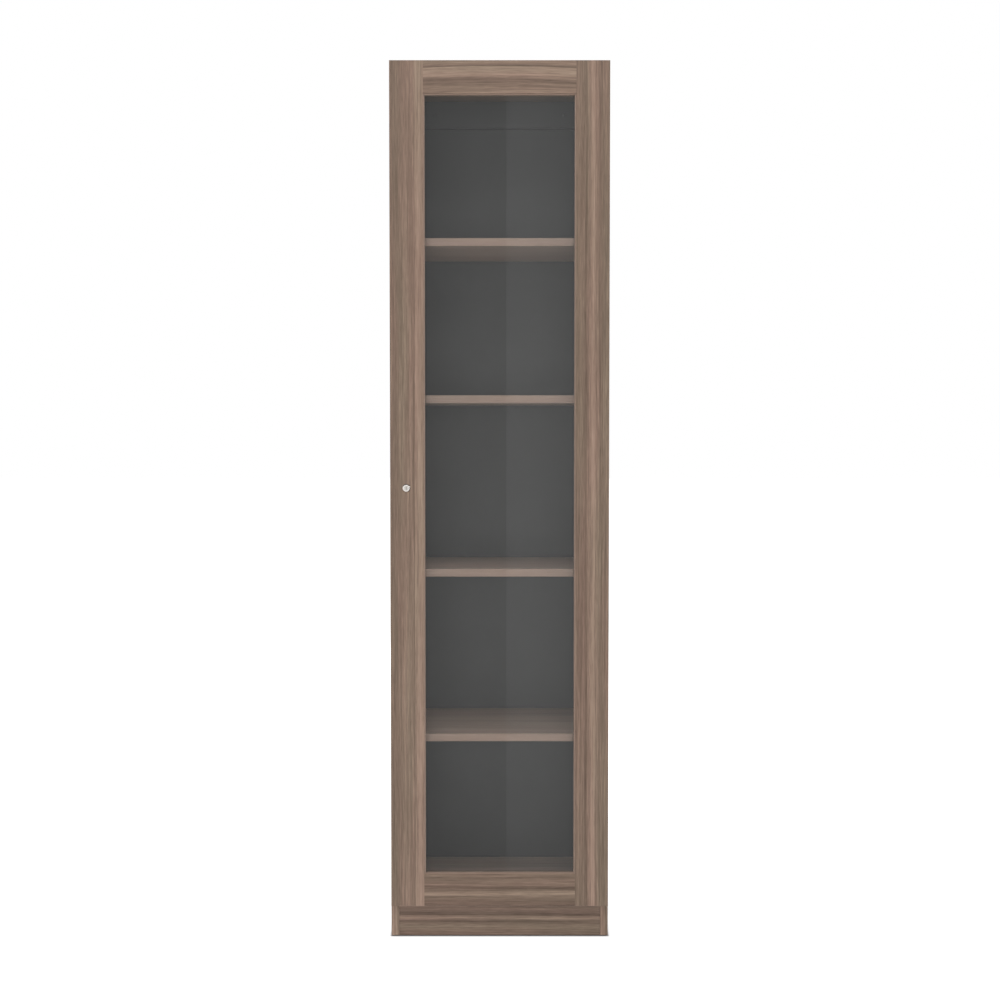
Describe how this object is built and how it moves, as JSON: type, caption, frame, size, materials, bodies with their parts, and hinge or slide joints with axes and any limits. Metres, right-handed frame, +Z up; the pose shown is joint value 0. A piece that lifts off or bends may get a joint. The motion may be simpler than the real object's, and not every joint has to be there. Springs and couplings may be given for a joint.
{
  "type": "glass-door bookcase",
  "caption": "Tall narrow bookcase in walnut-look board with a single full-height framed glass door on concealed hinges, adjustable shelves, a plinth and a round cam lock.",
  "frame": {"origin": "centre of the footprint's bounding box, on the floor", "axes": "+X to the viewer's right, -Y is the front with the door, +Z up"},
  "size_m": [0.5, 0.35, 2],
  "materials": {
    "walnut_board": "melamine-faced board with a grey-brown walnut print, satin",
    "walnut_frame": "foil-wrapped frame with a grey-brown walnut print, satin",
    "grey_back": "dark grey lacquered hardboard, matt",
    "beech": "raw turned beech",
    "nickel_steel": "nickel-plated pressed steel",
    "zinc_steel": "zinc-plated steel",
    "zinc_cast": "die-cast zinc, dull",
    "bright_chrome": "polished chrome plating",
    "clear_glass": "clear float glass, ground edges",
    "strip_plastic": "brown extruded strip",
    "glide_plastic": "black moulded nylon",
    "bumper_rubber": "translucent soft bumper"
  },
  "bodies": {
    "carcass": {"side_panel_left": "walnut_board", "side_panel_right": "walnut_board", "top_panel": "walnut_board", "bottom_panel": "walnut_board", "plinth_front": "walnut_board", "plinth_rear": "walnut_board", "hanging_rail": "grey_back", "back_panel": "grey_back", "shelf_1": "walnut_board", "shelf_2": "walnut_board", "shelf_3": "walnut_board", "shelf_4": "walnut_board", "shelf_pins": "nickel_steel", "cam_bolts": "zinc_steel", "carcass_dowels": "beech", "cam_discs": "zinc_cast", "floor_glides": "glide_plastic", "hinge_arm_1": "nickel_steel", "hinge_arm_2": "nickel_steel", "hinge_arm_3": "nickel_steel", "hinge_arm_4": "nickel_steel", "hinge_plate_1": "nickel_steel", "hinge_plate_2": "nickel_steel", "hinge_plate_3": "nickel_steel", "hinge_plate_4": "nickel_steel", "hinge_plate_screws": "zinc_steel", "hinge_arm_screws": "zinc_steel", "lock_strike": "nickel_steel", "strike_screws": "zinc_steel"},
    "door": {"door_stile_left": "walnut_frame", "door_stile_right": "walnut_frame", "door_rail_bottom": "walnut_frame", "door_rail_top": "walnut_frame", "door_dowels": "beech", "glass_pane": "clear_glass", "glazing_strip_left": "strip_plastic", "glazing_strip_right": "strip_plastic", "glazing_strip_bottom": "strip_plastic", "glazing_strip_top": "strip_plastic", "door_bumpers": "bumper_rubber", "hinge_cup_1": "nickel_steel", "hinge_cup_2": "nickel_steel", "hinge_cup_3": "nickel_steel", "hinge_cup_4": "nickel_steel", "hinge_pins": "zinc_steel", "hinge_cup_screws": "zinc_steel", "lock_housing": "bright_chrome", "lock_nut": "zinc_steel"},
    "lock_core": {"lock_plug": "bright_chrome", "lock_cam": "zinc_steel", "lock_cam_screw": "zinc_steel"}
  },
  "joints": [
    {"name": "door_swing", "type": "hinge", "parent": "carcass", "child": "door", "pos_m": [0.2405, -0.162, 0], "axis": [0, 0, 1], "range_deg": [0, 95]},
    {"name": "lock_turn", "type": "hinge", "parent": "door", "child": "lock_core", "pos_m": [-0.212, -0.175, 1.038], "axis": [0, -1, 0], "range_deg": [0, 90]}
  ]
}
